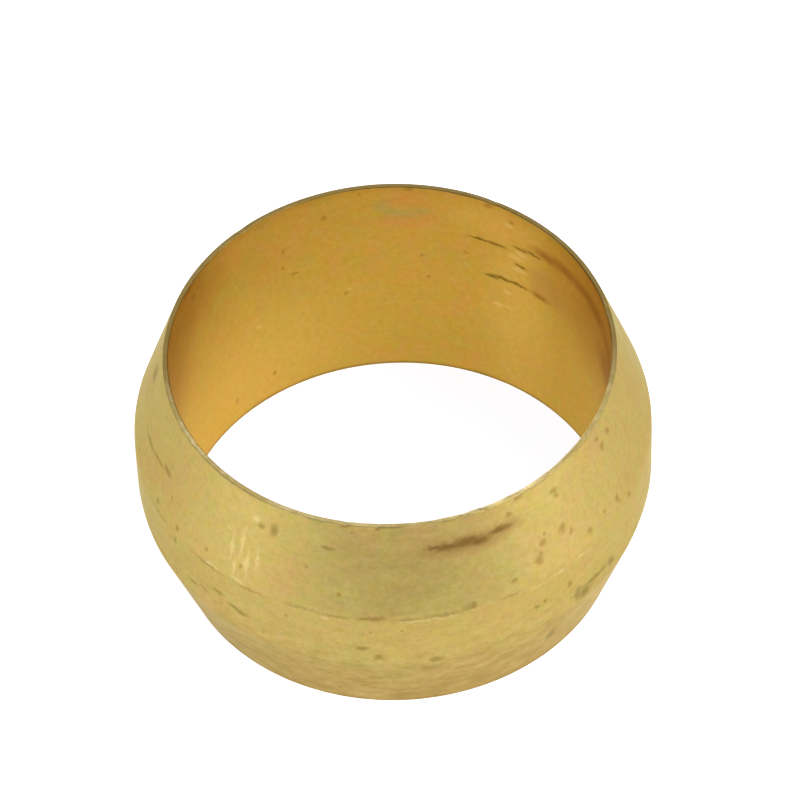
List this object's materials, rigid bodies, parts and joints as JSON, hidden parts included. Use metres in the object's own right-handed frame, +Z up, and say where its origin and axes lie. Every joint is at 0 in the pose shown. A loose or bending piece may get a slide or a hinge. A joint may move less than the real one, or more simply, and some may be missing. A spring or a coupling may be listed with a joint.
{
  "type": "compression ring",
  "caption": "Brass ring with a straight bore, a plain land round its middle and a shallow cone to a thin rim on each side. It seals a tube in a compression fitting.",
  "frame": {"origin": "centre of the bore in the plane of the lower rim, on which the ring stands", "axes": "+Z up along the bore axis; +X and +Y are free, because the ring is the same all round"},
  "size_m": [0.0152, 0.0152, 0.008],
  "materials": {
    "brass": "satin"
  },
  "bodies": {
    "root": {"compression_ring": "brass"}
  },
  "joints": []
}
